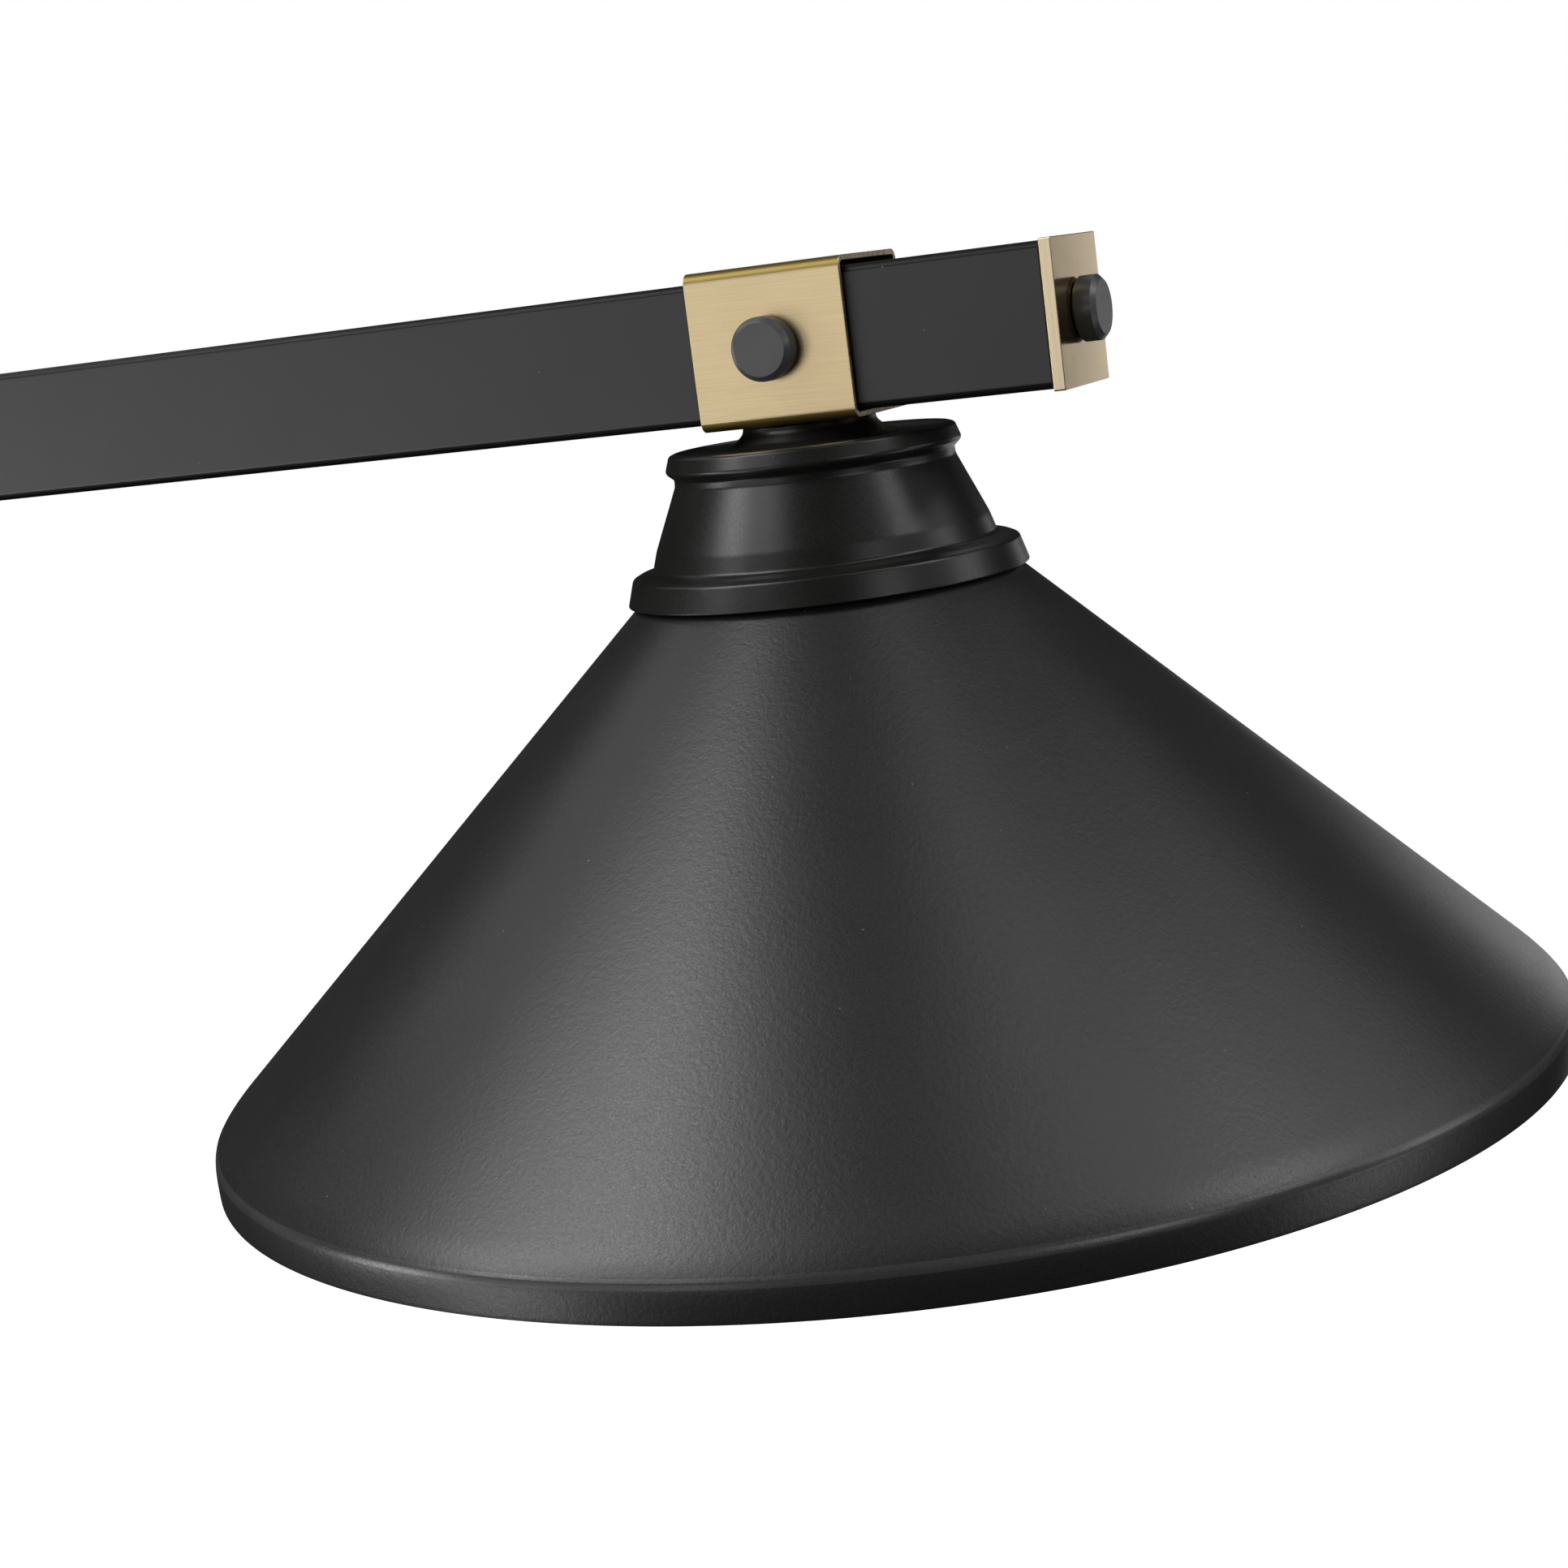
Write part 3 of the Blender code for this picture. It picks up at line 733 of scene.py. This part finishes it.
def make_shade(name, skins):
    """Shade, black outside and white inside, with a rounded sheet edge and a paler band along the
    crease that paints its highlight.
    """
    skin = shade_path()
    under = offset_path(skin, SHEET)
    rim = [Vector(SKIRT_FOOT) - Vector((inset, 0.1)) for inset in (0.15, 0.85)]
    path = skin + rim + list(reversed(under))
    at = Vector((middle("shade_" + name).x, 0, BAR_Z))
    shade = lathe("cone_shade_" + name, path, at, SHADE_ROUND, closed=True)
    place_piece(shade, "lamp_frame", "black_powder", ["shade_" + name], skins["shade"],
                skins["enamel"], skins["crease"])
    for face in shade.data.polygons:
        inward = Vector((face.center.x, face.center.y, 0)).dot(face.normal) < 0
        height = face.center.z / MM
        if inward or face.normal.z < -0.2:
            face.material_index = 1 if height > RIM_TOP else 0
        # Faces along the crease take the paler coat, a painted highlight.
        elif CREASE_HIGHLIGHT_BAND[0] < height < CREASE_HIGHLIGHT_BAND[1]:
            face.material_index = 2


def make_collar(name, skins):
    """Turned bell collar between the sleeve and the shade."""
    at = Vector((middle("collar_" + name).x, 0, BAR_Z))
    collar = lathe("bell_collar_" + name, collar_path(), at, ROUND, closed=True)
    place_piece(collar, "lamp_frame", "black_satin", ["collar_" + name], skins["collar"])


def make_lampholder(name, skins):
    """Black resin lampholder with a threaded skirt."""
    path = rounded_path(
        [(0, -45, 0), (5.3, -45, 0), (5.3, -34, 0.3), (13, -34.5, 2), (23.6, -45, 4),
         (23.6, -66.3, 0.5), (20.6, -66.3, 0)]
        + thread_points(20.6, -68.0, -93.5, 2.6, 0.45)
        + [(20.6, -95.6, 0.4), (20.0, -96, 0.3), (14, -96, 0.6), (14, -66, 0.5), (0, -66, 0)])
    at = Vector((middle("collar_" + name).x, 0, BAR_Z))
    holder = lathe("screw_lampholder_" + name, path, at, SMALL_ROUND)
    place_piece(holder, "lamp_frame", "phenolic", ["lampholder_" + name], skins["resin"])


def make_shade_ring(name, skins):
    """Screwed resin ring that clamps the shade, with grip flutes."""
    path = rounded_path([(21.2, -67.9, 0.3), (27.4, -67.9, 0.6), (27.4, -73.4, 0.8),
                         (25.6, -74.9, 0.6), (21.2, -74.9, 0.4)], closed=True)
    at = Vector((middle("collar_" + name).x, 0, BAR_Z))
    ring = lathe("clamp_ring_" + name, path, at, FLUTED_ROUND, closed=True)
    flute(ring, 24, 0.7, -76, -67, 25.0)
    place_piece(ring, "shade_ring_" + name + "_body", "phenolic", ["shade_ring_" + name],
                skins["resin"])


METAL_END = -96.4        # bottom of a bulb's screw base, in mm from the bar's middle
HOUSING_END = -129.2     # bottom of its moulded housing


def make_bulb(name, skins):
    """Screw-base bulb: metal base, moulded housing and opal globe."""
    path = rounded_path(
        [(0, -66.8, 0), (4.6, -67.2, 0.8), (5.4, -69.4, 1), (11.6, -72.6, 1.4)]
        + thread_points(13.1, -74.5, -92.5, 3.6, 0.9)
        + [(12.6, -95.8, 0.3), (13.6, -97.0, 0.5), (15.2, -100.0, 3), (20.4, -111.0, 20),
           (28.6, -128.6, 0.5), (28.2, -129.2, 0.2), (28.9, -129.9, 0.5), (30.2, -141, 14),
           (30.0, -152.0, 16), (27.0, -165.0, 16), (20.4, -174.8, 14), (10.5, -180.3, 12),
           (0, -181.4, 0)])
    at = Vector((middle("collar_" + name).x, 0, BAR_Z))
    bulb = lathe("opal_bulb_" + name, path, at, SMALL_ROUND)
    place_piece(bulb, "bulb_" + name + "_body", "bulb_white", ["bulb_" + name], skins["opal"],
                skins["housing"], skins["zinc"])
    for face in bulb.data.polygons:
        height = face.center.z / MM
        if height > METAL_END:
            face.material_index = 2
        elif height > HOUSING_END:
            face.material_index = 1


def make_stem(name, skins):
    """Stem lengths, foot, coupler and swivel ball."""
    x = middle("stem_foot_" + name).x
    at = Vector((x, 0, BAR_Z))
    top = BAR_SIZE / MM / 2 + 0.3
    foot = rounded_path([(8.7, top + 17, 0.4), (9.4, top + 16.2, 0.5), (9.4, top + 8, 2.5),
                         (12.0, top + 4.2, 0.8), (12.0, top, 0.3), (4.9, top, 0),
                         (4.9, top - 11, 0.3), (3.3, top - 11, 0.2), (3.3, top + 5, 0),
                         (STEM_GRIP, top + 5, 0), (STEM_GRIP, top + 17, 0.3)], closed=True)
    piece = lathe("turned_foot_" + name, foot, at, SMALL_ROUND, closed=True)
    place_piece(piece, "lamp_frame", "black_satin", ["stem_foot_" + name], skins["fitting"])
    for part in ("lower", "upper"):
        node = "stem_" + part + "_" + name
        low, high = (corner.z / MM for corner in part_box(node))
        tube = rounded_path([(STEM_BORE, high, 0.2), (STEM_RADIUS, high, 0.3),
                             (STEM_RADIUS, low, 0.3), (STEM_BORE, low, 0.2)], closed=True)
        piece = lathe("tube_" + node, tube, Vector((x, 0, 0)), SMALL_ROUND, closed=True)
        place_piece(piece, "lamp_frame", "black_powder", [node], skins["bar"])
    make_coupler(name, x, skins)
    make_ball(name, skins)


def make_coupler(name, x, skins):
    """Turned sleeve that joins the two stem lengths."""
    node = "stem_coupler_" + name
    path = rounded_path([(7.7, 12, 0.3), (8.6, 11.1, 0.4), (8.6, 4.2, 0.3), (8.1, 3.7, 0.2),
                         (8.1, -3.7, 0.2), (8.6, -4.2, 0.3), (8.6, -11.1, 0.4),
                         (7.7, -12, 0.3), (STEM_GRIP, -12, 0.1), (STEM_GRIP, 12, 0.1)],
                        closed=True)
    piece = lathe("turned_coupler_" + name, path, Vector((x, 0, middle(node).z)),
                  SMALL_ROUND, closed=True)
    place_piece(piece, "lamp_frame", "black_satin", [node], skins["fitting"])


def make_ball(name, skins):
    """Brass ball that the stem hangs from."""
    node = "swivel_ball_" + name
    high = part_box(node)[1]
    radius = extent(node).x / MM / 2
    drop = radius * math.sin(math.radians(BALL_ANGLE))
    centre = Vector((middle(node).x, 0, high.z - drop * MM))
    turns = [math.radians(BALL_ANGLE - 125 * n / 30) for n in range(31)]
    arc = [Vector((radius * math.cos(turn), radius * math.sin(turn))) for turn in turns]
    path = arc + [Vector((STEM_GRIP, arc[-1].y)), Vector((STEM_GRIP, 3.4)), Vector((3.6, 3.4)),
                  Vector((3.6, arc[0].y))]
    piece = lathe("brass_ball_" + name, path, centre, SMALL_ROUND, closed=True)
    place_piece(piece, "lamp_frame", "brushed_brass", [node], skins["turned_brass"])


def make_seat(name, skins):
    """Turned swivel seat under the canopy."""
    node = "swivel_seat_" + name
    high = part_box(node)[1]
    room = 14.45
    turns = [math.radians(-40 + 4 * n) for n in range(11)]
    cup = [(room * math.cos(turn), room * math.sin(turn), 0) for turn in turns]
    under = -2.3
    path = rounded_path([(room, 10, 0.2), (17, 10, 0.4), (17, under, 0), (21.5, under, 0.4),
                         (21.5, under - 2.6, 0.8), (16.8, under - 9.0, 6),
                         (13.2, under - 10.4, 0.8)] + cup, closed=True)
    centre = Vector((middle(node).x, 0, high.z - 10 * MM))
    piece = lathe("turned_seat_" + name, path, centre, SMALL_ROUND, closed=True)
    place_piece(piece, "ceiling", "black_satin", [node], skins["fitting"])


def pan_ring(size, corner, inset, height):
    """Rounded rectangle of the canopy pan, drawn in by a negative inset."""
    outline = square_outline(size.x + 2 * inset, size.y + 2 * inset, corner + inset, 12)
    return [(a, b, height) for a, b in outline]


def make_canopy(skins):
    """Pressed pan with rounded edges, open to the ceiling."""
    low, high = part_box("canopy_pan")
    size = (high - low) / MM
    room = size - Vector((2 * PAN_SHEET, 2 * PAN_SHEET, 0))
    profile = rounded_path([(0, 0, 0), (0, -size.z, PAN_EDGE), (-8, -size.z, 0)])
    outside = [pan_ring(size, PAN_CORNER, inset, z) for inset, z in profile]
    inside = [pan_ring(room, PAN_CORNER - PAN_SHEET, inset, z + PAN_SHEET * (z < -PAN_SHEET))
              for inset, z in reversed(profile)]
    place = Vector((middle("canopy_pan").x, 0, high.z))
    canopy = loft("pressed_canopy", inside + outside, place, caps=True)
    for name in SIDES:
        drill(canopy, 17.8, 12, "Z", Vector((middle("swivel_seat_" + name).x, 0, low.z)))
        drill(canopy, 2.6, 12, "Z", Vector((middle("cap_nut_" + name).x, 0, low.z)))
    place_piece(canopy, "ceiling", "black_powder", ["canopy_pan"], skins["canopy"])


def make_cap_nut(name, skins):
    """Fluted brass cap nut under the canopy."""
    node = "cap_nut_" + name
    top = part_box(node)[1].z / MM
    path = rounded_path([(0, -34, 0), (2.3, -34, 0), (2.3, top, 0.1), (6.9, top, 0.4),
                         (7.2, top - 0.8, 0.3), (7.2, -32.2, 0.5), (5.6, -35.6, 1.5),
                         (3.2, -37.4, 3), (0, -38.2, 0)])
    piece = lathe("brass_cap_nut_" + name, path, Vector((middle(node).x, 0, 0)), 144)
    flute(piece, 24, 0.35, -32.6, top - 0.3, 6.6)
    place_piece(piece, "ceiling", "brushed_brass", [node], skins["turned_brass"])


def dress_plain_nodes(skins):
    """Zinc plating on the CAD nodes whose shape stays."""
    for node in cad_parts.values():
        if not node.hide_render:
            node.data.materials.clear()
            node.data.materials.append(skins["zinc"])


# ---------------------------------------------------------------- stage

FLOOR_DROP = 1.35        # floor below the lamp's lowest point
FLOOR_RADIUS = 60.0
FLOOR_GLOW = 1.0         # keeps the floor as white as the wall behind it
FILL = 0.02              # even light from everywhere

LIGHT_TARGET = Vector((0.3, 0, BAR_Z - 0.1))

LIGHTS = (               # name, azimuth, elevation, distance, size, power
    ("key_high", -37, 61, 2.6, 0.8, 22.0),
    ("key_low", -57, 46, 2.6, 0.8, 13.5),
    ("key_skirt", -44, 36, 2.6, 0.8, 14.0),
    ("key_front", -14, 42, 2.6, 0.8, 7.0),
    ("left_bounce", -58, -4, 2.6, 0.8, 17.0),
    ("floor_bounce", -36, -20, 2.3, 0.8, 10.0),
    ("front_left", -28, 2, 2.6, 0.8, 3.0),
    ("front", -6, 4, 2.6, 0.8, 4.0),
    ("front_right", 60, 15, 2.6, 0.8, 6.5),
    ("right_low", 108, 12, 2.6, 0.8, 6.0),
    ("right_high", 93, 38, 2.6, 0.8, 13.0),
    ("right_top", 79, 60, 2.6, 0.8, 5.5),
    ("right_bounce", 95, -14, 2.6, 0.8, 5.0),
    ("rim_right", 121, 32, 2.6, 0.8, 3.0),
    ("backdrop", 161, 0, 2.6, 0.52, 1.0),
    ("back", 176, -16, 2.8, 1.4, 4.0),
    ("back_high", 176, 50, 2.8, 1.0, 6.0),
    ("back_left", 246, 40, 2.8, 1.2, 8.0),
)


def make_light(name, azimuth, elevation, distance, size, power):
    """Soft square light aimed at the lamp. Azimuth 0 is in front, 90 to the right."""
    lamp = bpy.data.lights.new(name, "AREA")
    lamp.shape = "SQUARE"
    lamp.size = size
    lamp.energy = power
    item = bpy.data.objects.new(name, lamp)
    bpy.context.scene.collection.objects.link(item)
    turn, rise = math.radians(azimuth), math.radians(elevation)
    away = Vector((math.sin(turn) * math.cos(rise), -math.cos(turn) * math.cos(rise),
                   math.sin(rise)))
    item.location = LIGHT_TARGET + away * distance
    item.rotation_mode = "QUATERNION"
    item.rotation_quaternion = away.to_track_quat("Z", "Y")
    item.visible_camera = False


def make_world():
    """White behind the object, and a dimmer even light on it."""
    world = bpy.data.worlds.new("studio")
    world.use_nodes = True
    tree = world.node_tree
    tree.nodes.clear()
    path = tree.nodes.new("ShaderNodeLightPath")
    seen = tree.nodes.new("ShaderNodeBackground")
    seen.inputs["Color"].default_value = (1, 1, 1, 1)
    seen.inputs["Strength"].default_value = 1.0
    fill = tree.nodes.new("ShaderNodeBackground")
    fill.inputs["Color"].default_value = (1, 1, 1, 1)
    fill.inputs["Strength"].default_value = FILL
    mix = tree.nodes.new("ShaderNodeMixShader")
    out = tree.nodes.new("ShaderNodeOutputWorld")
    tree.links.new(path.outputs["Is Camera Ray"], mix.inputs["Fac"])
    tree.links.new(fill.outputs[0], mix.inputs[1])
    tree.links.new(seen.outputs[0], mix.inputs[2])
    tree.links.new(mix.outputs[0], out.inputs["Surface"])
    bpy.context.scene.world = world


def make_floor():
    """Plain pale floor well below the lamp."""
    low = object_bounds()[0]
    work = bmesh.new()
    bmesh.ops.create_circle(work, cap_ends=True, segments=96, radius=FLOOR_RADIUS)
    floor = new_piece("floor", work, Vector((0, 0, low.z - FLOOR_DROP)))
    pale = Nodes("pale_floor")
    cloud = pale.noise(pale.place, 3.0, 2.0)
    base = pale.colours(cloud, (0.86, 0.86, 0.86), (0.9, 0.9, 0.9))
    floor.data.materials.append(pale.finish(base, None, None, Roughness=0.8,
                                            Emission_Color=(1, 1, 1, 1),
                                            Emission_Strength=FLOOR_GLOW))
    floor.visible_glossy = False
    floor.visible_diffuse = False


def make_stage():
    """Floor, world, lights and a plain view transform."""
    bpy.context.scene.view_settings.view_transform = "Standard"
    make_world()
    make_floor()
    for row in LIGHTS:
        make_light(*row)


def make_lamp():
    """Every piece of the lamp."""
    skins = make_materials()
    make_bar(skins)
    for name in LAMPS:
        make_sleeve(name, skins)
        make_collar(name, skins)
        make_shade(name, skins)
        make_lampholder(name, skins)
        make_shade_ring(name, skins)
        make_bulb(name, skins)
    make_knobs(skins)
    make_canopy(skins)
    for name in SIDES:
        make_end_plate(name, skins)
        make_stem(name, skins)
        make_seat(name, skins)
        make_cap_nut(name, skins)
    dress_plain_nodes(skins)


make_camera()
make_lamp()
make_stage()
